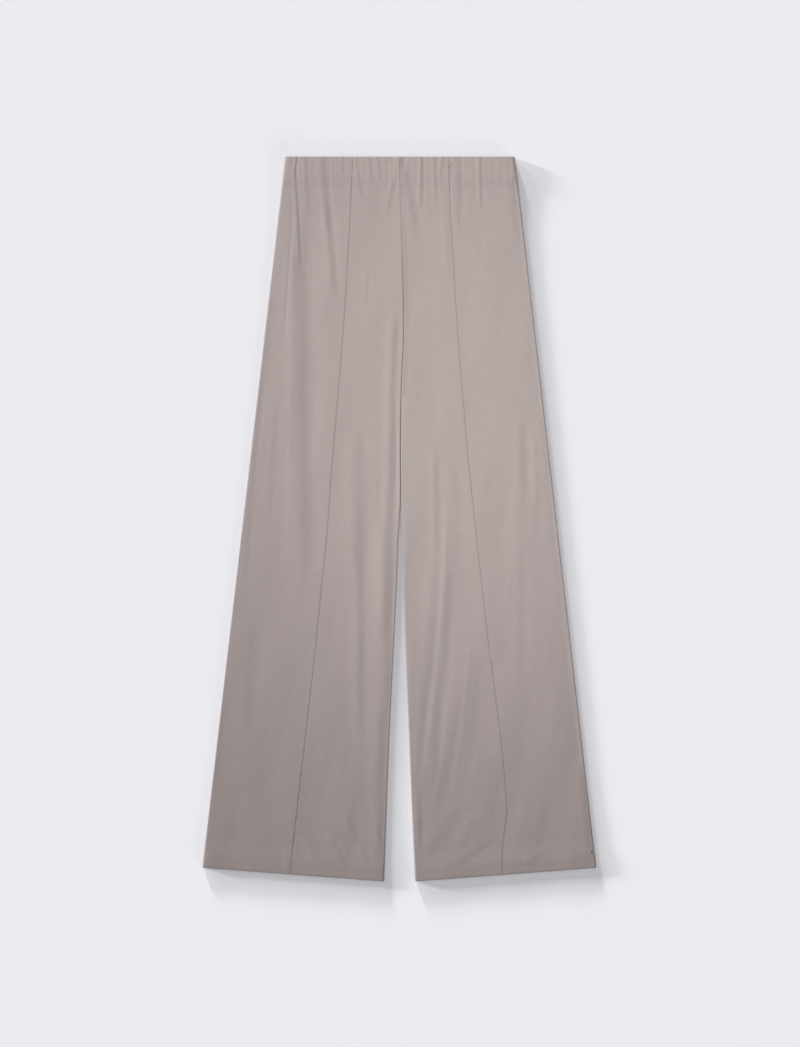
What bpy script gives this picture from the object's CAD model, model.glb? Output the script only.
# %% [markdown]
# # Straight-leg pull-on trousers, laid flat
#
# Wide jersey trousers lie on a pale board with the front up, and the camera looks straight down.
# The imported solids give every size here. Each panel of cloth is drawn again as a thin shell on its
# solid's form, as a surface worked out from two parameters: across the panel and down the leg.
# Left and right are the wearer's, so the wearer's right leg is at -X. The waist is at +Y.

# %% The frame
import math
from collections import namedtuple

import bpy
import numpy as np
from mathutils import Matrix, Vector


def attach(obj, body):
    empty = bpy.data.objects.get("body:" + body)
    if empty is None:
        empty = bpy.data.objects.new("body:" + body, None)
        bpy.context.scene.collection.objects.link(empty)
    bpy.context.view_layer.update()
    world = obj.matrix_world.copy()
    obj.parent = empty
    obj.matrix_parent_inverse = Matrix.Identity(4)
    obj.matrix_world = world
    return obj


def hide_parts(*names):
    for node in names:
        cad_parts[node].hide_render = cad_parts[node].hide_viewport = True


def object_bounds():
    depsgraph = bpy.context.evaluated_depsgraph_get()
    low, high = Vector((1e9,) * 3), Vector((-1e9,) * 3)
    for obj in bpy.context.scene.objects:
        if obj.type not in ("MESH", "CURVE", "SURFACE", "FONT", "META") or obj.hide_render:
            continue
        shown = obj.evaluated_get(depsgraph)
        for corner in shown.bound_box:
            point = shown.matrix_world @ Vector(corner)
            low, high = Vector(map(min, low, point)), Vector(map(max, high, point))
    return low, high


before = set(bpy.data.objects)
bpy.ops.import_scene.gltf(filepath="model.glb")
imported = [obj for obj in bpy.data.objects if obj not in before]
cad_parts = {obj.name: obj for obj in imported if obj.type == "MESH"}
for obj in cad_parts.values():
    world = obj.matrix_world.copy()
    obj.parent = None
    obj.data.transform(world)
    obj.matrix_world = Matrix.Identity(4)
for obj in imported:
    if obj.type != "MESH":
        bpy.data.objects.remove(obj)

cad_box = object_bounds()
CAD_SIZE = cad_box[1] - cad_box[0]
print("solids:", sorted(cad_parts), "box in mm:", [round(1000 * side, 1) for side in CAD_SIZE])

# %% [markdown]
# ## Sizes
#
# Jersey trousers like these are cut from six long panels and one loop of elastic. The driving sizes
# below are the garment's own, in metres, and the same as the solids'. They could be read back from
# the solids' boxes, but a maker knows them by name. The walls of the solids are 1 mm thick. Here the
# cloth is thinner round the same middle surface, so it stays inside them.

# %% Driving sizes
SIDE_LENGTH = 1.041  # from the waist to the hem, down a side seam
HEM_DROP = 0.020  # how much lower the hem is at the inseam
RISE = 0.340  # from the waist to the crotch
CASING_DEPTH = 0.028  # turned inside at the waist
HEM_DEPTH = 0.015  # turned inside at the hem
SOLID_WALL = 0.0010
CLOTH = 0.0008
SEAM_GAP = 0.0003  # between two panels at a flat seam
CASING_SPACING = 0.0026  # from the outer cloth to the cloth turned inside, at the waist
HEM_SPACING = 0.0016  # and at the hem

LENGTH = SIDE_LENGTH + HEM_DROP
TILT = HEM_DROP / SIDE_LENGTH
TOP = LENGTH / 2
CROTCH_RUN = RISE / (1 + TILT)
HALF_WALL = SOLID_WALL / 2
print("length", LENGTH, "m, solids", round(CAD_SIZE.y, 4), "m")


# %% Small helpers for arrays
def smooth(value):
    """0 below 0, 1 above 1, and 3v² - 2v³ between."""
    value = np.clip(value, 0, 1)
    return value * value * (3 - 2 * value)


def blend(first, second, share):
    """first + (second - first) x share."""
    return first + (second - first) * share


def bump(distance, half_width):
    """A soft ridge profile: e to the power of -(distance / half width)²."""
    return np.exp(-((distance / half_width) ** 2))


print("smooth steps from 0 to 1:", smooth(np.linspace(0, 1, 5)))

# %% [markdown]
# ## The outline and the seams
#
# The outline could be traced point by point, but a garment is cut along a few long smooth curves. A
# short table gives the x of each line at distances down from the waist edge, and a curve through
# those points, a cubic Hermite with slopes from the neighbours, gives any place between.

# %% Outline and seam lines
LINES = ["right_side", "right_seam", "right_inner", "left_inner", "left_seam", "left_side"]
SECTIONS = np.array(
    [
        (0.000, -0.1677, -0.0683, 0.0000, 0.0000, 0.0712, 0.1684),
        (0.075, -0.1764, -0.0719, 0.0010, 0.0010, 0.0744, 0.1774),
        (0.145, -0.1845, -0.0753, 0.0040, 0.0040, 0.0785, 0.1855),
        (0.250, -0.1968, -0.0822, 0.0062, 0.0062, 0.0846, 0.1973),
        (0.340, -0.2073, -0.0892, 0.0026, 0.0026, 0.0920, 0.2076),
        (0.427, -0.2175, -0.0969, 0.0013, 0.0015, 0.0993, 0.2175),
        (0.500, -0.2259, -0.1023, 0.0015, 0.0019, 0.1067, 0.2258),
        (0.532, -0.2297, -0.1047, -0.0002, 0.0026, 0.1102, 0.2295),
        (0.567, -0.2338, -0.1075, -0.0024, 0.0034, 0.1139, 0.2335),
        (0.620, -0.2399, -0.1132, -0.0040, 0.0052, 0.1197, 0.2396),
        (0.708, -0.2503, -0.1218, -0.0081, 0.0079, 0.1297, 0.2498),
        (0.849, -0.2668, -0.1379, -0.0150, 0.0134, 0.1480, 0.2659),
        (0.954, -0.2791, -0.1496, -0.0190, 0.0175, 0.1572, 0.2779),
        (0.975, -0.2815, -0.1521, -0.0197, 0.0185, 0.1558, 0.2803),
        (1.005, -0.2851, -0.1557, -0.0208, 0.0198, 0.1514, 0.2838),
        (1.061, -0.2915, -0.1625, -0.0226, 0.0223, 0.1496, 0.2904),
    ],
    dtype=[(name, float) for name in ["down"] + LINES],
)
TILT_SHARE = {"side": 0, "seam": 0.5, "inner": 1}  # how much of the hem's drop each line has


def line_x(line, run):
    """x of a line: the cubic through the two sections round it, with their neighbours' slopes.

    `run` is measured down the side seam. A line nearer the inseam reaches further down for one run,
    because the hem drops a little towards the inseam.
    """
    down = np.asarray(run) * (1 + TILT * TILT_SHARE[line.split("_")[1]])
    downs, xs = SECTIONS["down"], SECTIONS[line]
    slopes = np.gradient(xs, downs, edge_order=1)
    slopes[1:-1] = (xs[2:] - xs[:-2]) / (downs[2:] - downs[:-2])
    before = np.clip(np.searchsorted(downs, down) - 1, 0, len(downs) - 2)
    step = downs[before + 1] - downs[before]
    share = (down - downs[before]) / step
    straight = blend(xs[before], xs[before + 1], smooth(share))
    leaving = slopes[before] * step * share * (1 - share) ** 2
    arriving = slopes[before + 1] * step * share**2 * (1 - share)
    return straight + leaving - arriving


def down_at(leg, run, x):
    """How far down a point lies: run x (1 + tilt x its share of the way from side seam to inseam)."""
    side_x, inner_x = line_x(leg + "_side", run), line_x(leg + "_inner", run)
    return run * (1 + TILT * (x - side_x) / (inner_x - side_x))


waist_width = line_x("left_side", 0.0) - line_x("right_side", 0.0)
print("waist", round(float(waist_width), 3), "m wide laid flat")

# %% [markdown]
# ## How high the cloth lies
#
# A leg laid flat is a flattened tube. The back lies on the surface, the front lies on the back, and
# both roll round at the side seam and the inseam. At the waist and the hems the cloth is turned
# inside, so four layers make those edges thicker. A simulation could drop the cloth on the board,
# but it would not stop at the solids' heights, so a small table gives them. `half` is the radius of
# the roll, `puff` how much higher the front stands between the rolls, and `slack` how far a groove or
# a valley may sink. The cloth was smoothed out, so it lies a little flatter along the side seams than
# beside the inseams.

# %% Heights down the leg
LEVELS = np.array(
    [
        (0.000, 0.0034, 0.0006, 0.0000),
        (0.030, 0.0034, 0.0006, 0.0000),
        (0.044, 0.0026, 0.0004, 0.0014),
        (0.090, 0.0018, 0.0002, 0.0014),
        (0.160, 0.0015, 0.0001, 0.0014),
        (0.340, 0.0014, 0.0001, 0.0014),
        (0.930, 0.0014, 0.0001, 0.0014),
        (1.000, 0.0018, 0.0001, 0.0012),
        (1.022, 0.0023, 0.0002, 0.0000),
        (1.041, 0.0023, 0.0002, 0.0000),
    ],
    dtype=[("run", float), ("half", float), ("puff", float), ("slack", float)],
)
FREE_SLACK = 0.001  # with this much slack the cloth lies free
INSEAM_ROLL_LENGTH = 0.024  # over which the centre seam turns into the inseams
SMOOTHED_EDGES = {"right_side": -0.0003, "left_side": -0.0005}  # how far each is pressed down
SMOOTHED_REACH = 0.018  # and how far in from the seam


def level(column, run):
    """A column of the table, straight between its rows."""
    return np.interp(run, LEVELS["run"], LEVELS[column])


def rolled_share(line, run):
    """1 where an edge rolls round to the other face, 0 where it is a flat seam.

    An inner line is the centre seam above the crotch and the inseam below it, and turns smoothly
    from one to the other over a short stretch.
    """
    if line.endswith("side"):
        return np.ones_like(run)
    if line.endswith("seam"):
        return np.zeros_like(run)
    return smooth((run - CROTCH_RUN) / INSEAM_ROLL_LENGTH)


print("front lies", round(1000 * float(2 * level("half", 0.5) + SOLID_WALL), 1), "mm high mid-leg")

# %% [markdown]
# ## The folds
#
# Most of what the eye reads on plain jersey is its folds. They could come from a cloth simulation,
# but these were left when the garment was smoothed out, each in its own place. So each fold is one
# row of a table: where it starts and ends, how it bows, how wide and how high it is, and how far it
# leans. A valley has a negative height. A fold's cross profile is a soft bell. One that leans over
# turns towards a wave that stands up on its left and dips on its right. Each fades in and out along
# its length, but a fold that starts at the waist edge has its full height there.

# %% Fold tables
FOLD_COLUMNS = ["x", "down", "to_x", "to_down", "bow", "half_width", "height", "lean"]
WAIST_GATHERS = [
    (-0.151, 0.000, -0.154, 0.035, 0.000, 0.0023, 0.0006, 1.0),
    (-0.154, 0.010, -0.146, 0.180, 0.001, 0.0035, 0.0006, 0.9),
    (-0.155, 0.057, -0.171, 0.298, 0.000, 0.0022, -0.0005, 0.0),
    (-0.137, 0.000, -0.133, 0.104, 0.000, 0.0053, 0.0003, 0.8),
    (-0.112, 0.000, -0.104, 0.122, 0.000, 0.0070, 0.0007, 0.8),
    (-0.107, 0.063, -0.093, 0.221, 0.000, 0.0073, 0.0008, 0.8),
    (-0.083, 0.000, -0.085, 0.028, 0.000, 0.0032, 0.0003, 0.7),
    (-0.064, 0.000, -0.054, 0.069, 0.000, 0.0038, 0.0004, 0.7),
    (-0.044, 0.000, -0.039, 0.048, 0.000, 0.0032, 0.0003, 0.7),
    (-0.032, 0.000, -0.026, 0.040, 0.000, 0.0032, 0.0003, 0.7),
    (0.002, 0.000, 0.003, 0.018, 0.000, 0.0065, 0.0009, 0.8),
    (0.011, 0.000, 0.014, 0.026, 0.000, 0.0047, 0.0003, 0.0),
    (-0.001, 0.007, -0.021, 0.095, 0.000, 0.0056, 0.0005, 0.7),
    (0.005, 0.004, 0.027, 0.130, 0.001, 0.0095, 0.0007, 0.8),
    (-0.001, 0.013, -0.001, 0.063, 0.000, 0.0032, 0.0004, 0.0),
    (0.033, 0.000, 0.031, 0.084, 0.000, 0.0041, 0.0005, 0.8),
    (0.051, 0.000, 0.054, 0.084, 0.000, 0.0038, 0.0003, 0.7),
    (0.064, 0.000, 0.058, 0.034, 0.000, 0.0032, 0.0004, 0.7),
    (0.069, 0.041, 0.073, 0.188, 0.000, 0.0066, 0.0003, 0.8),
    (0.085, 0.000, 0.088, 0.095, 0.000, 0.0067, 0.0005, 0.8),
    (0.077, 0.043, 0.091, 0.122, 0.000, 0.0050, 0.0003, 0.7),
    (0.118, 0.000, 0.120, 0.086, 0.000, 0.0040, 0.0004, 0.8),
    (0.115, 0.101, 0.116, 0.169, 0.000, 0.0051, 0.0001, 0.8),
    (0.163, 0.022, 0.178, 0.136, 0.000, 0.0103, 0.0004, 0.9),
]
RIGHT_LEG_FOLDS = [
    (-0.154, 0.031, -0.164, 0.649, 0.000, 0.0050, 0.0003, 0.0),
    (-0.146, 0.048, -0.136, 0.690, 0.000, 0.0183, 0.0014, 1.0),
    (-0.195, 0.364, -0.218, 0.539, 0.000, 0.0044, 0.0003, 0.0),
    (-0.180, 0.349, -0.193, 0.554, 0.000, 0.0066, 0.0003, 0.8),
    (-0.201, 0.298, -0.233, 0.679, 0.000, 0.0073, 0.0004, 0.9),
    (-0.046, 0.163, -0.050, 0.221, 0.000, 0.0035, 0.0003, 0.7),
    (-0.003, 0.217, -0.010, 0.430, -0.003, 0.0082, 0.0009, 0.9),
    (-0.010, 0.378, -0.016, 0.569, 0.002, 0.0095, 0.0010, 0.9),
    (-0.017, 0.510, -0.021, 0.847, 0.001, 0.0139, 0.0017, 0.4),
    (-0.025, 0.781, -0.031, 1.057, 0.000, 0.0117, 0.0008, 0.6),
    (-0.019, 0.520, -0.019, 0.730, 0.000, 0.0132, 0.0008, 0.9),
    (-0.022, 0.479, -0.023, 0.547, 0.000, 0.0044, 0.0003, 0.0),
    (-0.032, 0.465, -0.032, 0.512, 0.000, 0.0038, 0.0002, 0.7),
    (-0.060, 0.386, -0.058, 0.649, -0.001, 0.0147, 0.0009, 0.9),
    (-0.058, 0.561, -0.056, 0.884, 0.000, 0.0095, 0.0006, 0.9),
    (-0.215, 0.664, -0.225, 0.869, 0.000, 0.0117, 0.0003, 0.9),
    (-0.077, 0.963, -0.060, 1.010, 0.000, 0.0066, 0.0004, 0.8),
    (-0.088, 1.001, -0.074, 1.028, 0.000, 0.0038, 0.0004, 0.0),
    (-0.142, 0.995, -0.104, 1.045, 0.000, 0.0073, 0.0008, 0.3),
    (-0.104, 0.990, -0.079, 1.039, 0.000, 0.0073, 0.0008, 0.3),
    (-0.058, 1.006, -0.044, 1.045, 0.000, 0.0050, 0.0005, 0.3),
    (-0.033, 0.981, -0.025, 1.006, 0.000, 0.0044, 0.0004, 0.8),
    (-0.165, 1.013, -0.164, 1.060, 0.000, 0.0038, 0.0004, 0.4),
    (-0.158, 1.013, -0.158, 1.060, 0.000, 0.0038, 0.0003, 0.4),
]
LEFT_LEG_FOLDS = [
    (0.053, 0.415, 0.055, 0.608, 0.000, 0.0070, 0.0004, 0.9),
    (0.070, 0.488, 0.025, 0.969, 0.009, 0.0041, 0.0004, 0.0),
    (0.082, 0.447, 0.084, 0.635, 0.000, 0.0117, 0.0003, 0.9),
    (0.075, 0.570, 0.062, 0.802, 0.000, 0.0088, 0.0005, 0.9),
    (0.060, 0.730, 0.049, 0.950, 0.000, 0.0088, 0.0004, 0.9),
    (0.053, 0.569, 0.042, 0.825, 0.000, 0.0110, 0.0004, 0.9),
    (0.038, 0.752, 0.025, 0.928, 0.001, 0.0081, 0.0003, 0.9),
    (0.027, 0.921, 0.031, 1.025, 0.000, 0.0059, 0.0004, 0.8),
    (0.074, 0.781, 0.046, 0.978, 0.002, 0.0059, 0.0004, 0.0),
    (0.087, 0.781, 0.058, 0.960, 0.004, 0.0073, 0.0002, 0.8),
    (0.104, 0.690, 0.076, 0.934, 0.004, 0.0047, 0.0003, 0.0),
    (0.116, 0.715, 0.091, 0.949, 0.003, 0.0073, 0.0001, 0.9),
    (0.102, 0.937, 0.036, 1.034, 0.000, 0.0161, 0.0004, 0.8),
    (0.109, 0.960, 0.077, 1.019, 0.000, 0.0095, 0.0004, 0.0),
    (0.131, 1.001, 0.082, 1.039, 0.000, 0.0088, 0.0003, 0.8),
    (0.225, 1.013, 0.185, 1.039, 0.000, 0.0081, 0.0003, 0.8),
    (0.179, 0.378, 0.181, 0.517, 0.000, 0.0095, 0.0005, 0.9),
    (0.177, 0.488, 0.178, 0.811, 0.000, 0.0103, 0.0003, 0.9),
    (0.195, 0.400, 0.200, 0.526, 0.000, 0.0050, 0.0004, 0.0),
    (0.213, 0.356, 0.238, 0.679, 0.000, 0.0132, 0.0005, 0.9),
    (0.162, 0.585, 0.157, 0.714, 0.000, 0.0066, 0.0003, 0.0),
    (0.269, 0.880, 0.282, 1.042, 0.000, 0.0117, 0.0008, 0.5),
]
FOLDS = np.array(
    WAIST_GATHERS + RIGHT_LEG_FOLDS + LEFT_LEG_FOLDS,
    dtype=[(name, float) for name in FOLD_COLUMNS],
)
print(len(FOLDS), "folds, heights in mm", 1000 * FOLDS["height"].min(), "to", 1000 * FOLDS["height"].max())

# %% All folds added up
FOLD_START = 0.2  # the share of its length over which a fold rises
FOLD_END = 0.3  # and over which it fades
LEAN_PEAK = math.sqrt(2 * math.e)  # makes the wave of a leaning fold 1 high


def fold_profile(distance, half_width, lean):
    """Bell x (1 - lean - lean x peak x distance / half width): a bell, or its slope, 1 high."""
    bell = bump(distance, half_width)
    return bell * (1 - lean - lean * LEAN_PEAK * distance / half_width)


def relief(x, down):
    """The sum of all folds: height x profile across the fold x smooth fading at its two ends."""
    height = np.zeros_like(x)
    for fold in FOLDS:
        length = fold["to_down"] - fold["down"]
        along = (down - fold["down"]) / length
        start = 1 if fold["down"] == 0 else smooth(along / FOLD_START)
        ends = start * smooth((1 - along) / FOLD_END)
        middle = blend(fold["x"], fold["to_x"], along) + fold["bow"] * 4 * along * (1 - along)
        slant = math.cos(math.atan2(fold["to_x"] - fold["x"], length))
        across = (x - middle) * slant
        profile = fold_profile(across, fold["half_width"], fold["lean"])
        height += fold["height"] * ends * profile
    return height


hip_x = np.linspace(-0.15, 0.15, 301)
hip_relief = 1000 * relief(hip_x, np.full_like(hip_x, 0.05))
print("50 mm down, folds reach", hip_relief.min().round(2), "to", hip_relief.max().round(2), "mm")

# %% [markdown]
# ## Small unevenness
#
# Between the folds of the tables, jersey is never quite flat: it ripples where the elastic draws it
# in, puckers beside its seams, and has faint soft dents everywhere. A noise texture could do this as
# bump, but the exported mesh would be smooth. A sum of a few plane waves with seeded directions gives
# such dents to the mesh itself, the same each run.

# %% Dents
DENTS = np.array(
    [
        # size of a dent, how much longer it is down the leg than across, height
        (0.060, 2.6, 0.00015),
        (0.024, 2.2, 0.00004),
        (0.010, 1.5, 0.00002),
    ],
    dtype=[("size", float), ("stretch", float), ("height", float)],
)
WAVES_PER_SIZE = 9
DENT_SEED = 11


def dents(x, down):
    """The sum, for each size, of sines along seeded directions, scaled by the dent's height."""
    height = np.zeros_like(x)
    random = np.random.default_rng(DENT_SEED)
    for dent in DENTS:
        angles = random.uniform(0, math.tau, WAVES_PER_SIZE)
        phases = random.uniform(0, math.tau, WAVES_PER_SIZE)
        share = dent["height"] * math.sqrt(2 / WAVES_PER_SIZE)
        for angle, phase in zip(angles, phases):
            across = math.tau * math.cos(angle) / dent["size"]
            along = math.tau * math.sin(angle) / dent["size"] / dent["stretch"]
            height += share * np.sin(x * across + down * along + phase)
    return height


hip_dents = 1e6 * dents(hip_x, np.full_like(hip_x, 0.05))
print("50 mm down, dents reach", hip_dents.min().round(), "to", hip_dents.max().round(), "micrometres")

# %% Ripples at the waist, and puckers along the seams
RIPPLE_PITCH = 0.0094
RIPPLE_HEIGHT = 0.00007
RIPPLE_REACH = 0.035  # how far below the casing the ripples die out
RIPPLE_DRIFTS = [
    # how far the ripples drift sideways, how fast, phase
    (0.0021, 71, 0),
    (0.0016, 143, 1),
]
PUCKER_PITCH = 0.013
PUCKER_HEIGHT = 0.00010
PUCKER_REACH = 0.007
PUCKER_DRIFT = 0.002
PUCKER_DRIFT_RATE = 97


def elastic_ripples(x, down):
    """Sines of uneven pitch across the waist, which die out below the casing."""
    uneven = x + sum(far * np.sin(x * rate + phase) for far, rate, phase in RIPPLE_DRIFTS)
    fading = 1 - smooth((down - CASING_DEPTH) / RIPPLE_REACH)
    return RIPPLE_HEIGHT * fading * np.sin(math.tau * uneven / RIPPLE_PITCH)


def seam_puckers(distance, run):
    """Sines of uneven pitch along a seam x a bell across it."""
    uneven = run + PUCKER_DRIFT * np.sin(run * PUCKER_DRIFT_RATE)
    return PUCKER_HEIGHT * bump(distance, PUCKER_REACH) * np.sin(math.tau * uneven / PUCKER_PITCH)


print("about", round(float(waist_width) / RIPPLE_PITCH), "ripples across the waist")

# %% [markdown]
# ## Rows and columns of a panel
#
# A panel is a grid. Its rows start inside the waist casing, go over the waist fold, down the leg,
# round the hem fold and up inside the hem. Its columns are close together at an edge, where the cloth
# rolls or dips into a seam, and even between. A modifier could round the edges afterwards, but then
# the seams would not meet, so the edge's profile is part of the surface.

# %% Rows
ROW_STEP = 0.0032
TURN_ROWS = 9  # round the fold at the waist or a hem
CASING_ROWS = 9
HEM_ROWS = 6


def row_table(run, turn, at_waist):
    """One stretch of rows, where `turn` is the angle by which the cloth has turned inside.

    Its columns are the run, the share turned inside, (1 - cos turn) / 2, how far the fold's half
    circle reaches beyond the run, how deep the row lies under the outside, and how much of the
    outside's folds it follows once it is inside.
    """
    run, turn = np.broadcast_arrays(np.asarray(run, float), np.asarray(turn, float))
    spacing = CASING_SPACING if at_waist else HEM_SPACING
    inner = (1 - np.cos(turn)) / 2
    beyond = spacing / 2 * np.sin(turn) * (-1 if at_waist else 1)
    follows = np.full_like(run, 0.0 if at_waist else 1.0)
    return np.stack([run, inner, beyond, spacing * inner, follows], axis=-1)


def panel_rows():
    """Rows from the casing's inner edge, over the waist, down the outside and up inside the hem."""
    waist_fold = CASING_SPACING / 2 + HALF_WALL
    hem_fold = SIDE_LENGTH - HEM_SPACING / 2 - HALF_WALL
    turns = np.linspace(0, math.pi, TURN_ROWS)
    outside = np.linspace(waist_fold, hem_fold, round((hem_fold - waist_fold) / ROW_STEP))
    in_casing = np.linspace(CASING_DEPTH, waist_fold, CASING_ROWS)
    in_hem = np.linspace(hem_fold, SIDE_LENGTH - HEM_DEPTH, HEM_ROWS)
    return np.concatenate(
        [
            row_table(in_casing[:-1], math.pi, True),
            row_table(waist_fold, turns[::-1], True),
            row_table(outside[1:-1], 0, True),
            row_table(hem_fold, turns, False),
            row_table(in_hem[1:], math.pi, False),
        ]
    )


ROWS = panel_rows()
RUN, INNER, BEYOND, DEPTH, FOLLOWS = ROWS.T[:, :, None]
FREE = smooth(level("slack", RUN) / FREE_SLACK)
print(len(ROWS), "rows in a panel")

# %% Columns at an edge
ROLL_STEPS = np.array([0, 0.08, 0.18, 0.3, 0.43, 0.56, 0.7, 0.85, 1])  # shares of the roll's turn
SEAM_STEPS = 0.001 * np.array([0, 0.25, 0.5, 0.8, 1.2, 1.8, 2.7, 4.5, 8.0])  # from a flat seam
ROLLED_SEAM_GAP = 0.0006  # between front and back at a rolled edge
TURNED_SEAM_GAP = 0.0009  # and inside the casing and the hems
INSEAM_CLEARANCE = 0.00010  # from each leg's roll to the middle
TURNED_GROOVE_DEPTH = 0.0002  # of every seam where the cloth is turned inside
PANEL_GROOVES = {"right_seam": 0.00034, "left_seam": 0.00020}
CENTRE_GROOVE_TOP = 0.00015  # the centre seam at the waist
CENTRE_GROOVE = 0.0011  # and at the crotch
CENTRE_GROOVE_STARTS = 0.09  # how far down it begins to deepen
CENTRE_GROOVE_GROWS = 0.16  # and over what length
GROOVE_WIDTH = 0.0009
ALLOWANCE_WIDTH = 0.0080
ALLOWANCE_LIFT = 0.0008


def groove_depth(line, run):
    """How far a seam pulls the cloth in: the centre seam more and more towards the crotch."""
    if line in PANEL_GROOVES:
        return PANEL_GROOVES[line] * np.ones_like(run)
    grown = smooth((run - CENTRE_GROOVE_STARTS) / CENTRE_GROOVE_GROWS)
    return blend(CENTRE_GROOVE_TOP, CENTRE_GROOVE, grown)


def edge_columns(line, falls):
    """(inset, rise, dip) of the columns at an edge, from its rim inwards.

    On a rolled edge the inset is r - (r - depth) cos a and the rise sin a, for angles a up to a
    quarter turn. On a flat seam the inset grows by fixed steps. The cloth falls sharply into the seam
    on its left, where `falls` is true. The allowances are pressed to the right, so on that side of
    the centre seam they lift it a little, as far as they reach.
    """
    rolled = rolled_share(line, RUN)
    half = level("half", RUN)
    radius = half - DEPTH
    clearance = HALF_WALL + (0 if line.endswith("side") else INSEAM_CLEARANCE)
    rim = np.arcsin(blend(ROLLED_SEAM_GAP, TURNED_SEAM_GAP, INNER) / 2 / radius)
    angle = blend(rim, math.pi / 2, ROLL_STEPS)
    inset = blend(SEAM_GAP / 2 + SEAM_STEPS, clearance + half - radius * np.cos(angle), rolled)
    rise = blend(1, np.sin(angle), rolled)
    if falls:
        depth = blend(TURNED_GROOVE_DEPTH, groove_depth(line, RUN), FREE) * (1 - rolled)
        return inset, rise, depth * bump(SEAM_STEPS, GROOVE_WIDTH)
    lifted = ALLOWANCE_LIFT * FREE * (1 - rolled) * (line not in PANEL_GROOVES)
    return inset, rise, -lifted * (1 - smooth(SEAM_STEPS / ALLOWANCE_WIDTH))


print(len(ROLL_STEPS), "columns at each edge of a panel")

# %% [markdown]
# ## From the grid to the cloth
#
# On the real garment the front lies loosely on the back, held by the seams round it. It could be
# sculpted from a flat sheet, but then its edges would need fitting to the back's. Here both come from
# one formula. A column's x comes from the lines at its two sides. Its height is the middle of the
# tube, plus or minus the roll's reach, plus the lift of the front: puff, folds, ripples and dents,
# less the grooves. Folds die out towards a rolled edge. The inner layer at the waist stays flat,
# because the elastic holds it, and the one inside the hem follows the outer layer.

# %% The lift of the front
EDGE_FADE = 0.008  # how near a rolled edge the folds die out
STITCH_GROOVE = 0.00010  # how far a stitch row sinks in
STITCH_GROOVE_WIDTH = 0.0012
CASING_STITCH_RUN = 0.0268
HEM_STITCH_RUN = SIDE_LENGTH - 0.0130


def smoothed_edges(x, leg):
    """How much flatter the cloth lies along a leg's side seam: a bell across it, where it is free."""
    line = leg + "_side"
    return SMOOTHED_EDGES[line] * bump(x - line_x(line, RUN), SMOOTHED_REACH) * FREE


def lift_share(x, leg):
    """1 on the open front, falling smoothly to 0 at a rolled edge."""
    share = np.ones_like(x)
    for line in (leg + "_side", leg + "_inner"):
        near = 1 - smooth(np.abs(x - line_x(line, RUN)) / EDGE_FADE)
        share *= 1 - rolled_share(line, RUN) * near
    return share


def front_lift(x, down, dip, leg):
    """Puff + edges + folds + dents + ripples + puckers - grooves, never below the slack."""
    seam_x = line_x(leg + "_seam", RUN)
    stitched = bump(RUN - CASING_STITCH_RUN, STITCH_GROOVE_WIDTH)
    stitched = stitched + bump(RUN - HEM_STITCH_RUN, STITCH_GROOVE_WIDTH)
    lift = level("puff", RUN) + smoothed_edges(x, leg) + relief(x, down) + dents(x, down)
    lift = lift + elastic_ripples(x, down) + seam_puckers(x - seam_x, RUN)
    lift = lift - dip * (1 - INNER) - STITCH_GROOVE * stitched
    return np.maximum(lift, -level("slack", RUN))


print("stitch rows", CASING_STITCH_RUN, "and", HEM_STITCH_RUN, "m down the side seam")

# %% The surface of a panel
# A panel lies between the lines at its lower and its higher x, with columns between their edges.
Panel = namedtuple("Panel", ["face", "low_line", "high_line", "leg", "columns"])


def panel_surface(panel):
    """x, down and rise of the grid, and the dip into its seams."""
    low_inset, low_rise, low_dip = edge_columns(panel.low_line, falls=False)
    high_inset, high_rise, high_dip = (a[:, ::-1] for a in edge_columns(panel.high_line, falls=True))
    low = line_x(panel.low_line, RUN) + low_inset
    high = line_x(panel.high_line, RUN) - high_inset
    shares = np.linspace(0, 1, panel.columns + 2)[1:-1]
    middle = blend(low[:, -1:], high[:, :1], shares)
    x = np.hstack([low, middle, high])
    rise = np.hstack([low_rise, np.ones_like(middle), high_rise])
    dip = np.hstack([low_dip, np.zeros_like(middle), high_dip])
    return x, down_at(panel.leg, RUN, x) + BEYOND, rise, dip


def panel_points(panel):
    """The grid's points: (x, top - down, middle height ± reach + lift)."""
    x, down, rise, dip = panel_surface(panel)
    middle = HALF_WALL + level("half", RUN)
    reach = (level("half", RUN) - DEPTH) * rise
    if panel.face == "back":
        return np.stack([x, TOP - down, middle - reach], axis=-1)
    held = blend(1, FOLLOWS, INNER)
    lift = front_lift(x, down, dip, panel.leg) * held * lift_share(x, panel.leg)
    return np.stack([x, TOP - down, middle + reach + lift], axis=-1)


# %% [markdown]
# ## From points to a mesh
#
# Jersey is one thin sheet, so a panel could stay a bare surface, but then its edges would have no
# thickness. The points go into the mesh as whole arrays. A UV map holds real metres, measured across
# and down the cloth, so that the knit follows the panel. A Solidify modifier then gives the cloth its
# wall.

# %% Grid to mesh
PANEL_SHIFT = 0.731  # metres between the knit of one panel and the next, so that no two are alike


def cloth_uv(points, number):
    """Metres across and down the cloth, summed from point to point, from a start of its own."""
    across = np.linalg.norm(np.diff(points, axis=1), axis=2).cumsum(axis=1)
    across = np.pad(across, ((0, 0), (1, 0)))
    across = across - across[:, across.shape[1] // 2][:, None]
    down = np.linalg.norm(np.diff(points, axis=0), axis=2).cumsum(axis=0)
    down = np.pad(down, ((1, 0), (0, 0)))
    return np.stack([across + PANEL_SHIFT * number, -down - PANEL_SHIFT * number], axis=-1)


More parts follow.
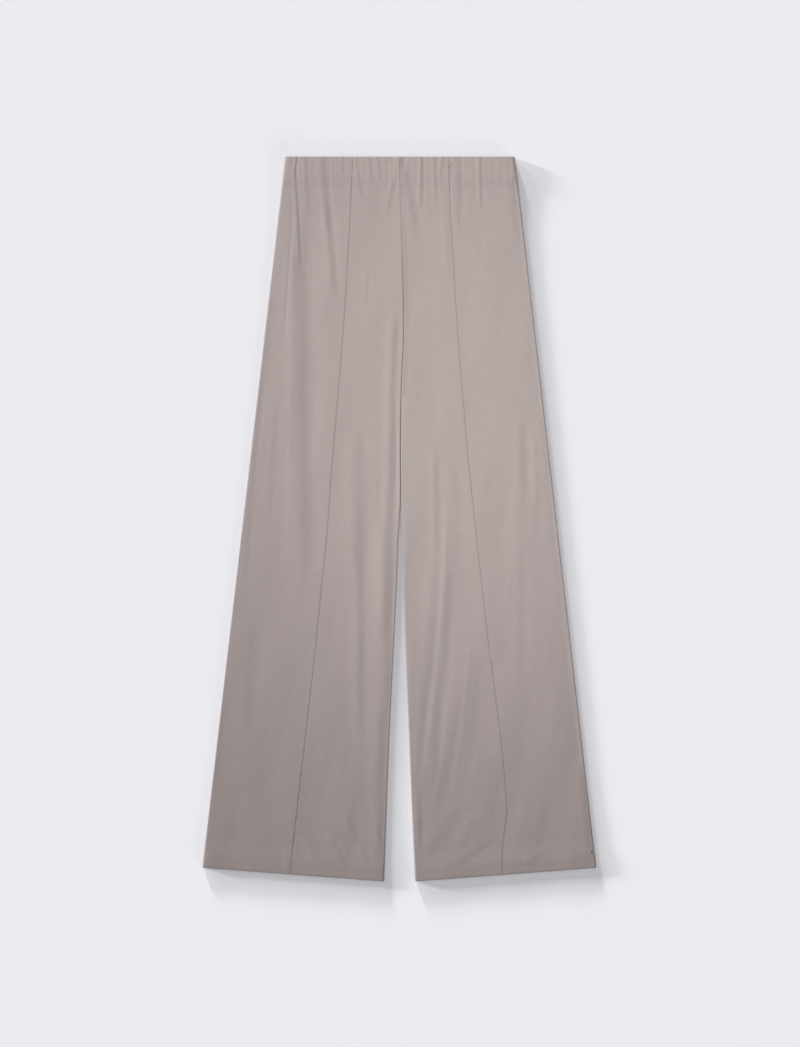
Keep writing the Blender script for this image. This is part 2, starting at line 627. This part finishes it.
def add_mesh(name, vertices, faces, uv=None):
    """A smooth-shaded mesh object from arrays of vertices and of faces with equal corner counts."""
    mesh = bpy.data.meshes.new(name)
    mesh.vertices.add(len(vertices))
    mesh.vertices.foreach_set("co", vertices.astype(np.float32).ravel())
    mesh.loops.add(faces.size)
    mesh.loops.foreach_set("vertex_index", faces.astype(np.int32).ravel())
    mesh.polygons.add(len(faces))
    mesh.polygons.foreach_set("loop_start", np.arange(0, faces.size, faces.shape[1]))
    mesh.polygons.foreach_set("use_smooth", np.ones(len(faces), bool))
    mesh.update(calc_edges=True)
    if uv is not None:
        layer = mesh.uv_layers.new(name="cloth")
        layer.data.foreach_set("uv", uv[faces.ravel()].astype(np.float32).ravel())
    piece = bpy.data.objects.new(name, mesh)
    bpy.context.scene.collection.objects.link(piece)
    return piece


def grid_faces(rows, columns, facing_up):
    """The quads between neighbouring rows and columns, wound so that they face up or down."""
    corner = (np.arange(rows - 1)[:, None] * columns + np.arange(columns - 1)).ravel()
    quads = np.stack([corner, corner + columns, corner + columns + 1, corner + 1], axis=1)
    return quads if facing_up else quads[:, ::-1]


def add_wall(piece, thickness):
    """Gives a surface its wall: half the thickness to each side of it."""
    wall = piece.modifiers.new("Wall", "SOLIDIFY")
    wall.thickness = thickness
    wall.offset = 0
    wall.use_even_offset = True


print("a grid of 2 x 3 points has the quads", grid_faces(2, 3, True).tolist())

# %% [markdown]
# ## The six panels
#
# The front is cut as two panels a leg, joined by a long seam down the thigh. The back, which lies
# underneath, is one plain panel a leg. The cloth could be one mesh with lines pressed into it, but
# real panels meet at a gap, and each one here stands for its own solid. Each rides on the one body
# and is declared as a sheet with the size it was cut to: its length with both turned edges, its
# widest width and its area, both with the seam allowances, which lie hidden inside and aren't drawn.

# %% Build the panels
FRONT_COLUMNS = 120
BACK_COLUMNS = 24
PANELS = {
    "front_right_side": Panel("front", "right_side", "right_seam", "right", FRONT_COLUMNS),
    "front_right_centre": Panel("front", "right_seam", "right_inner", "right", FRONT_COLUMNS),
    "front_left_centre": Panel("front", "left_inner", "left_seam", "left", FRONT_COLUMNS),
    "front_left_side": Panel("front", "left_seam", "left_side", "left", FRONT_COLUMNS),
    "back_right": Panel("back", "right_side", "right_inner", "right", BACK_COLUMNS),
    "back_left": Panel("back", "left_inner", "left_side", "left", BACK_COLUMNS),
}


panel_grids = {}
panel_pieces = []
for number, (name, panel) in enumerate(PANELS.items()):
    points = panel_points(panel)
    faces = grid_faces(*points.shape[:2], facing_up=panel.face == "front")
    uv = cloth_uv(points, number)
    piece = add_mesh(name + "_cloth", points.reshape(-1, 3), faces, uv.reshape(-1, 2))
    add_wall(piece, CLOTH)
    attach(piece, "root")
    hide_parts(name)
    panel_grids[name] = points
    panel_pieces.append(piece)

# %% [markdown]
# ## Stitches
#
# The casing and the hems are held by one row of lockstitch each, in thread of the cloth's colour,
# and the elastic by a short bar tack beside the left front seam. Stitches could be a pattern in the
# material, but from the side a painted thread is flat. So each stitch is a little arc of thread that
# rises out of the cloth and dips back in. One function makes a whole row as a single mesh from
# arrays: a profile ring carried along every arc.

# %% Stitch maker
THREAD_RADIUS = 0.00019
ARC_STEPS = 6
ARC_RISE = 1.6  # how many radii a stitch rises above its ends
ARC_TAPER = 0.75  # how much of its cross section is lost in the cloth at its ends
RING_STEPS = 6
RING_CAP = np.array([[0, 5, 4, 3], [0, 3, 2, 1]])  # the two quads that close a ring of six


def stitch_row(name, centres, directions, length, radius):
    """Arcs of thread: centre + direction x t + up x rise x (1 - t²), for t from -1 to 1.

    The profile round the arc is a circle of the radius x sqrt(1 - taper x t²).
    """
    t = np.linspace(-1, 1, ARC_STEPS)
    ring = np.arange(RING_STEPS) * math.tau / RING_STEPS
    up = np.array([0.0, 0.0, 1.0])
    side = np.cross(directions, up)
    spine = centres[:, None] + directions[:, None] * (t * length / 2)[None, :, None]
    spine = spine + up * (radius * ARC_RISE * (1 - t**2) - radius)[None, :, None]
    thin = radius * np.sqrt(1 - ARC_TAPER * t**2)
    out = side[:, None, None] * np.cos(ring)[None, None, :, None]
    out = out + up * np.sin(ring)[None, None, :, None]
    points = spine[:, :, None] + out * thin[None, :, None, None]
    step = np.arange(ARC_STEPS - 1)[:, None] * RING_STEPS
    here = step + np.arange(RING_STEPS)
    onward = step + (np.arange(RING_STEPS) + 1) % RING_STEPS
    tube = np.stack([here, onward, onward + RING_STEPS, here + RING_STEPS], axis=-1).reshape(-1, 4)
    last = (ARC_STEPS - 1) * RING_STEPS
    single = np.concatenate([tube, RING_CAP, RING_CAP[:, ::-1] + last])
    offsets = np.arange(len(centres))[:, None, None] * ARC_STEPS * RING_STEPS
    piece = add_mesh(name, points.reshape(-1, 3), (single[None] + offsets).reshape(-1, 4))
    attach(piece, "root")
    return piece


def cloth_height(name, x, y):
    """The top of the cloth at each (x, y): the height of the nearest grid point + half the wall."""
    outer = (INNER[:, 0] == 0) & (RUN[:, 0] > 0)
    grid = panel_grids[name][outer].reshape(-1, 3)
    nearest = np.argmin((grid[:, :1] - x) ** 2 + (grid[:, 1:2] - y) ** 2, axis=0)
    return grid[nearest, 2] + CLOTH / 2


print("a stitch has", (ARC_STEPS - 1) * RING_STEPS + 2 * len(RING_CAP), "faces")

# %% Casing and hem stitches
STITCH_PITCH = 0.0036
STITCH_LENGTH = 0.0029
STITCH_MARGIN = 0.002  # bare cloth at each end of a row


def seam_row(name, run):
    """Stitch centres along one row of a panel, an even pitch apart, on the outer cloth."""
    panel = PANELS[name]
    low = float(line_x(panel.low_line, run))
    high = float(line_x(panel.high_line, run))
    count = int((high - low - 2 * STITCH_MARGIN) / STITCH_PITCH)
    x = np.linspace(low + STITCH_MARGIN, high - STITCH_MARGIN, count)
    y = TOP - down_at(panel.leg, run, x)
    return np.stack([x, y, cloth_height(name, x, y)], axis=1)


def along(points):
    """Unit directions from each point to the next."""
    steps = np.gradient(points, axis=0)
    return steps / np.linalg.norm(steps, axis=1, keepdims=True)


stitch_pieces = []
for title, run in (("casing", CASING_STITCH_RUN), ("hem", HEM_STITCH_RUN)):
    for name in [name for name, panel in PANELS.items() if panel.face == "front"]:
        centres = seam_row(name, run)
        row_name = name + "_" + title + "_stitches"
        row = stitch_row(row_name, centres, along(centres), STITCH_LENGTH, THREAD_RADIUS)
        stitch_pieces.append(row)
print(sum(len(piece.data.polygons) for piece in stitch_pieces), "faces of thread")

# %% Bar tack and thread tack
BAR_TACK_X = 0.0737
BAR_TACK_DOWNS = np.array([0.0103, 0.0140, 0.0180, 0.0220])
BAR_TACK_WIDTH = 0.0085
BAR_TACK_RADIUS = 0.0003
BAR_TACK_LIFT = 0.0002
THREAD_TACK = np.array([0.2806, TOP - 1.0174])
THREAD_TACK_DIRECTION = np.array([0.35, 0.94, 0.0])
THREAD_TACK_LENGTH = 0.0045
THREAD_TACK_RADIUS = 0.00045
THREAD_TACK_LIFT = 0.0001


def tack(name, x, y, lift, direction, length, radius):
    """Short parallel stitches on the left side panel, all in one direction, a little above it."""
    z = cloth_height("front_left_side", x, y) + lift
    directions = np.tile(direction, (len(x), 1))
    return stitch_row(name, np.stack([x, y, z], axis=1), directions, length, radius)


bar_tack = tack(
    "waist_bar_tack",
    np.full_like(BAR_TACK_DOWNS, BAR_TACK_X),
    TOP - BAR_TACK_DOWNS,
    BAR_TACK_LIFT,
    np.array([1.0, 0.0, 0.0]),
    BAR_TACK_WIDTH,
    BAR_TACK_RADIUS,
)
thread_tack = tack(
    "side_thread_tack",
    THREAD_TACK[:1],
    THREAD_TACK[1:],
    THREAD_TACK_LIFT,
    THREAD_TACK_DIRECTION,
    THREAD_TACK_LENGTH,
    THREAD_TACK_RADIUS,
)
print("bar tack of", len(BAR_TACK_DOWNS), "threads, thread tack", 1000 * THREAD_TACK_LENGTH, "mm long")

# %% [markdown]
# ## The jersey
#
# Knitted viscose jersey has a soft matt face with a slight sheen, fine columns of stitches down the
# cloth, and slubs: short stretches of thicker yarn that lie across it as faint dashes. A photograph
# could be laid on as a texture, but it would bring one garment's light and marks along. Here all of it
# is noise stretched across the cloth, in the UV map's real metres, and faint, as it is on the cloth.
# The stitch columns are 0.7 mm apart on the real cloth and are drawn at 1.0 mm, as coarse as shows.

# %% Colours and node helper
WAVE_TURN = math.tau / 20  # a Wave texture of scale 1 has a band every turn / 20 units


def linear(hex_colour):
    """An sRGB hex colour as linear red, green, blue and alpha 1."""
    srgb = np.array([int(hex_colour[i : i + 2], 16) for i in (1, 3, 5)]) / 255
    low, high = srgb / 12.92, ((srgb + 0.055) / 1.055) ** 2.4
    return (*np.where(srgb <= 0.04045, low, high), 1.0)


def add_node(tree, kind, settings=None, links=None):
    """Adds a node, sets its properties and sockets, and links outputs of other nodes to it."""
    node = tree.nodes.new(kind)
    for name, value in (settings or {}).items():
        if isinstance(name, str) and hasattr(node, name):
            setattr(node, name, value)
        else:
            node.inputs[name].default_value = value
    for name, output in (links or {}).items():
        tree.links.new(output, node.inputs[name])
    return node


def new_material(name, shader_settings):
    """A material with one Principled shader, and the shader itself."""
    material = bpy.data.materials.new(name)
    material.use_nodes = True
    shader = material.node_tree.nodes["Principled BSDF"]
    for socket, value in shader_settings.items():
        shader.inputs[socket].default_value = value
    return material, shader


print("sRGB #808080 is", round(float(linear("#808080")[0]), 3), "in linear light")

# %% Knitted viscose jersey
JERSEY_SHADES = [(0.42, "#B6A9A6"), (0.54, "#B7AAA7"), (0.78, "#B8ABA8"), (0.92, "#BAADAA")]
SLUB_LENGTH = 0.016
SLUB_THICKNESS = 0.0034
CLOUD_LENGTH = 0.050
CLOUD_THICKNESS = 0.016
CLOUD_SHARE = 0.3
STITCH_COLUMN = 0.0010
COLUMN_SHARE = 2.0  # how much higher a stitch column stands than a slub
KNIT_RELIEF = 0.00005


def knitted_viscose_jersey():
    """Soft, matt and a little heathered: the eye sees cloth that drapes, not paper."""
    material, shader = new_material(
        "knitted_viscose_jersey",
        {"Roughness": 0.85, "IOR": 1.47, "Sheen Weight": 0.15, "Sheen Roughness": 0.5},
    )
    tree = material.node_tree
    cloth = add_node(tree, "ShaderNodeUVMap", {"uv_map": "cloth"})

    def streaks(width, height, detail):
        """Noise whose blobs are `width` across the cloth and `height` down it."""
        scaled = add_node(
            tree,
            "ShaderNodeMapping",
            {"Scale": (1 / width, 1 / height, 1)},
            {"Vector": cloth.outputs["UV"]},
        )
        noise = add_node(
            tree,
            "ShaderNodeTexNoise",
            {"noise_dimensions": "2D", "Scale": 1.0, "Detail": detail, "Roughness": 0.55},
            {"Vector": scaled.outputs["Vector"]},
        )
        return noise.outputs["Fac"]

    slubs = streaks(SLUB_LENGTH, SLUB_THICKNESS, 1.0)
    clouds = streaks(CLOUD_LENGTH, CLOUD_THICKNESS, 3.0)
    shade = add_node(
        tree,
        "ShaderNodeMath",
        {"operation": "MULTIPLY_ADD", 1: CLOUD_SHARE},
        {0: clouds, 2: slubs},
    )
    ramp = add_node(tree, "ShaderNodeValToRGB", {}, {"Fac": shade.outputs["Value"]})
    stops = ramp.color_ramp.elements
    for position, colour in JERSEY_SHADES[1:-1]:
        stops.new(position)
    for stop, (position, colour) in zip(stops, JERSEY_SHADES):
        stop.position = position
        stop.color = linear(colour)
    tree.links.new(ramp.outputs["Color"], shader.inputs["Base Color"])

    columns = add_node(
        tree,
        "ShaderNodeTexWave",
        {"wave_type": "BANDS", "bands_direction": "X", "Scale": WAVE_TURN / STITCH_COLUMN},
        {"Vector": cloth.outputs["UV"]},
    )
    height = add_node(
        tree,
        "ShaderNodeMath",
        {"operation": "MULTIPLY_ADD", 1: COLUMN_SHARE},
        {0: columns.outputs["Fac"], 2: slubs},
    )
    knit = add_node(
        tree,
        "ShaderNodeBump",
        {"Strength": 0.1, "Distance": KNIT_RELIEF},
        {"Height": height.outputs["Value"]},
    )
    tree.links.new(knit.outputs["Normal"], shader.inputs["Normal"])
    return material


jersey = knitted_viscose_jersey()
for piece in panel_pieces:
    piece.data.materials.append(jersey)
print(jersey.name, "has", len(jersey.node_tree.nodes), "nodes and is on", len(panel_pieces), "panels")

# %% [markdown]
# ## Thread and elastic
#
# The sewing thread is spun polyester, twisted from two plies, so it is a little shinier than the
# cloth and has fine slanting ridges. Each ply could be a tube of its own, but the thread is under half
# a millimetre thick, so a wave pattern as bump draws them. The elastic is woven from white yarn over
# rubber, with ribs along its length. It lies inside the casing, so its solid stays and only takes this
# finish.


# %% Ridges
def banded_material(name, shader_settings, direction, scale, distortion, bump_settings):
    """One colour, with ridges WAVE_TURN / scale apart as bump, in Object coordinates."""
    material, shader = new_material(name, shader_settings)
    tree = material.node_tree
    place = add_node(tree, "ShaderNodeTexCoord")
    bands = add_node(
        tree,
        "ShaderNodeTexWave",
        {
            "wave_type": "BANDS",
            "bands_direction": direction,
            "Scale": scale,
            "Distortion": distortion,
        },
        {"Vector": place.outputs["Object"]},
    )
    raised = add_node(tree, "ShaderNodeBump", bump_settings, {"Height": bands.outputs["Fac"]})
    tree.links.new(raised.outputs["Normal"], shader.inputs["Normal"])
    return material


# %% Spun polyester thread
PLY_SCALE = 700.0  # ridges 0.45 mm apart
PLY_RIDGES = {"Strength": 0.5, "Distance": 0.00006}


def spun_polyester_thread(name, colour):
    """Smoother than the jersey, so the eye picks out a row of small glints, broken by the twist."""
    settings = {"Roughness": 0.6, "IOR": 1.5, "Base Color": linear(colour)}
    return banded_material(name, settings, "DIAGONAL", PLY_SCALE, 1.0, PLY_RIDGES)


cloth_thread = spun_polyester_thread("spun_polyester_thread", "#B3A5A1")
dark_thread = spun_polyester_thread("dark_spun_polyester_thread", "#5E5451")
for piece in stitch_pieces + [bar_tack]:
    piece.data.materials.append(cloth_thread)
thread_tack.data.materials.append(dark_thread)
print(cloth_thread.name, "is on", len(stitch_pieces) + 1, "pieces,", dark_thread.name, "on 1")

# %% Woven elastic
RIB_SCALE = 120.0  # ribs 2.6 mm apart
RIBS = {"Strength": 0.6, "Distance": 0.0002}


def woven_elastic():
    """Off-white and dull, with ribs along its length that read as a firm band, not as cloth."""
    settings = {"Roughness": 0.7, "Base Color": linear("#E6E2DC")}
    return banded_material("woven_elastic", settings, "Y", RIB_SCALE, 0.0, RIBS)


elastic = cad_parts["waist_elastic"]
elastic.data.materials.clear()
elastic.data.materials.append(woven_elastic())
print("elastic:", [slot.name for slot in elastic.data.materials])

# %% [markdown]
# ## The board
#
# The garment lies on a pale matt board. A curved backdrop would do as well for a view from above, but
# a flat board also carries the garment in every other view. It is one large square at height 0, where
# the solids rest, with the grain of rolled paint as faint bump.

# %% Pale board
BOARD_SIZE = 6.0
GRAINS_A_METRE = 900.0  # rolled paint has a grain of about 1.1 mm
SQUARE = np.array([[-1, -1, 0], [1, -1, 0], [1, 1, 0], [-1, 1, 0]])
floor = add_mesh("floor", SQUARE * BOARD_SIZE / 2, np.array([[0, 1, 2, 3]]))


def matt_painted_board():
    """Even and without gloss, with a fine grain of rolled paint that shows only close up."""
    material, shader = new_material(
        "matt_painted_board", {"Base Color": linear("#E6E5EA"), "Roughness": 0.95, "IOR": 1.45}
    )
    tree = material.node_tree
    place = add_node(tree, "ShaderNodeTexCoord")
    grain = add_node(
        tree,
        "ShaderNodeTexNoise",
        {"Scale": GRAINS_A_METRE, "Detail": 2.0},
        {"Vector": place.outputs["Object"]},
    )
    stipple = add_node(
        tree,
        "ShaderNodeBump",
        {"Strength": 0.1, "Distance": 0.00005},
        {"Height": grain.outputs["Fac"]},
    )
    tree.links.new(stipple.outputs["Normal"], shader.inputs["Normal"])
    return material


floor.data.materials.append(matt_painted_board())
print("board", BOARD_SIZE, "m wide")

# %% [markdown]
# ## The light
#
# One lamp could light all of it, but then the board would be as uneven as the cloth. In a studio the
# two are lit apart, and Blender's light linking does the same: a lamp that has a receiver collection
# lights only what is in it, while everything still casts its shadow. Two small soft lamps hang over
# the garment, the stronger one over the hips. A wide sun from the upper left shapes the folds, and a
# weak narrow one opposite keeps the rolled edges from going dark. The board has one very wide light
# straight above. Two low suns, one mostly from the picture's left and one mostly from beyond the
# waist, draw the long soft shadows to the right and below the hems. One between them fills their
# corner, and a weak one opposite leaves a trace of shadow on the other side. A faint sky fills all
# of it.

# %% What each lamp lights
lit_board = bpy.data.collections.new("lit_board")
lit_garment = bpy.data.collections.new("lit_garment")
lit_board.objects.link(floor)
for piece in panel_pieces + stitch_pieces + [bar_tack, thread_tack, elastic]:
    lit_garment.objects.link(piece)


# %% Lamps
def add_lamp(kind, name, place, aim, settings, receivers):
    """A lamp at `place` that faces `aim` and lights only the collection `receivers`."""
    data = bpy.data.lights.new(name, kind)
    for setting, value in settings.items():
        setattr(data, setting, value)
    lamp = bpy.data.objects.new(name, data)
    bpy.context.scene.collection.objects.link(lamp)
    lamp.location = place
    lamp.rotation_euler = (Vector(aim) - Vector(place)).to_track_quat("-Z", "Y").to_euler()
    lamp.visible_camera = False
    lamp.light_linking.receiver_collection = receivers


def direction(turn, rise):
    """The unit vector towards a light: (cos rise cos turn, cos rise sin turn, sin rise)."""
    turn, rise = math.radians(turn), math.radians(rise)
    return (math.cos(rise) * math.cos(turn), math.cos(rise) * math.sin(turn), math.sin(rise))


def add_sun(name, turn, rise, across, irradiance, receivers):
    """A sun `across` degrees wide. Its strength is irradiance / sin rise, so a level surface gets it."""
    settings = {
        "energy": irradiance / math.sin(math.radians(rise)),
        "angle": math.radians(across),
    }
    add_lamp("SUN", name, direction(turn, rise), (0, 0, 0), settings, receivers)


SOFTBOX_WIDTH = 0.4
SOFTBOXES = [
    # name, x, y, height, watts
    ("upper_softbox", 0.06, 0.43, 0.6, 1.43),
    ("lower_softbox", 0.10, -0.05, 0.5, 0.78),
]
SUNS = [
    # name, degrees from +X, rise, degrees across, irradiance, what it lights
    ("fold_light", 150, 25, 38, 1.20, lit_garment),
    ("edge_light", -30, 10, 14, 0.05, lit_garment),
    ("board_light", 90, 90, 100, 1.42, lit_board),
    ("right_shadow_light", 160, 6.9, 5, 0.60, lit_board),
    ("lower_shadow_light", 110, 6.9, 5, 0.60, lit_board),
    ("middle_shadow_light", 135, 8.5, 6, 0.25, lit_board),
    ("opposite_light", -45, 12, 12, 0.21, lit_board),
]
for name, x, y, height, watts in SOFTBOXES:
    softbox = {"shape": "DISK", "size": SOFTBOX_WIDTH, "energy": watts}
    add_lamp("AREA", name, (x, y, height), (x, y, 0), softbox, lit_garment)
for sun in SUNS:
    add_sun(*sun)
print(len(SOFTBOXES), "soft lamps and", len(SUNS), "suns")

# %% Sky
SKY_STRENGTH = 0.065
SKY_SEEN = 0.80  # what the camera sees behind the board, so that low views have a pale backdrop
world = bpy.data.worlds.new("soft_sky")
world.use_nodes = True
sky = world.node_tree.nodes["Background"]
sky.inputs["Color"].default_value = linear("#FFFFFF")
ray = add_node(world.node_tree, "ShaderNodeLightPath")
seen = add_node(
    world.node_tree,
    "ShaderNodeMath",
    {"operation": "MULTIPLY_ADD", 1: SKY_SEEN - SKY_STRENGTH, 2: SKY_STRENGTH},
    {0: ray.outputs["Is Camera Ray"]},
)
world.node_tree.links.new(seen.outputs["Value"], sky.inputs["Strength"])
bpy.context.scene.world = world
bpy.context.scene.view_settings.view_transform = "Standard"
board_light = sum(sun[4] for sun in SUNS if sun[5] is lit_board) + math.pi * SKY_STRENGTH
print("light on the open board", round(board_light, 3), "watts a square metre")

# %% [markdown]
# ## The camera
#
# The photograph was taken from straight above. An orthographic camera would show no depth at all, and
# a real lens is never quite without it. So the camera has a long lens and stands far off, and its
# height and the picture's scale give the lens: sensor x height / the length that the picture takes in.

# %% Camera
METRES_PER_PIXEL = 0.001466
PICTURE_HEIGHT = 1047
CAMERA_HEIGHT = 3.2
CAMERA_X = 0.0004
CAMERA_Y = -0.0065
camera_data = bpy.data.cameras.new("overhead_camera")
camera_data.lens = camera_data.sensor_width * CAMERA_HEIGHT / (METRES_PER_PIXEL * PICTURE_HEIGHT)
camera = bpy.data.objects.new("overhead_camera", camera_data)
camera.location = (CAMERA_X, CAMERA_Y, CAMERA_HEIGHT)
bpy.context.scene.collection.objects.link(camera)
bpy.context.scene.camera = camera
print("lens", round(camera_data.lens, 1), "mm")
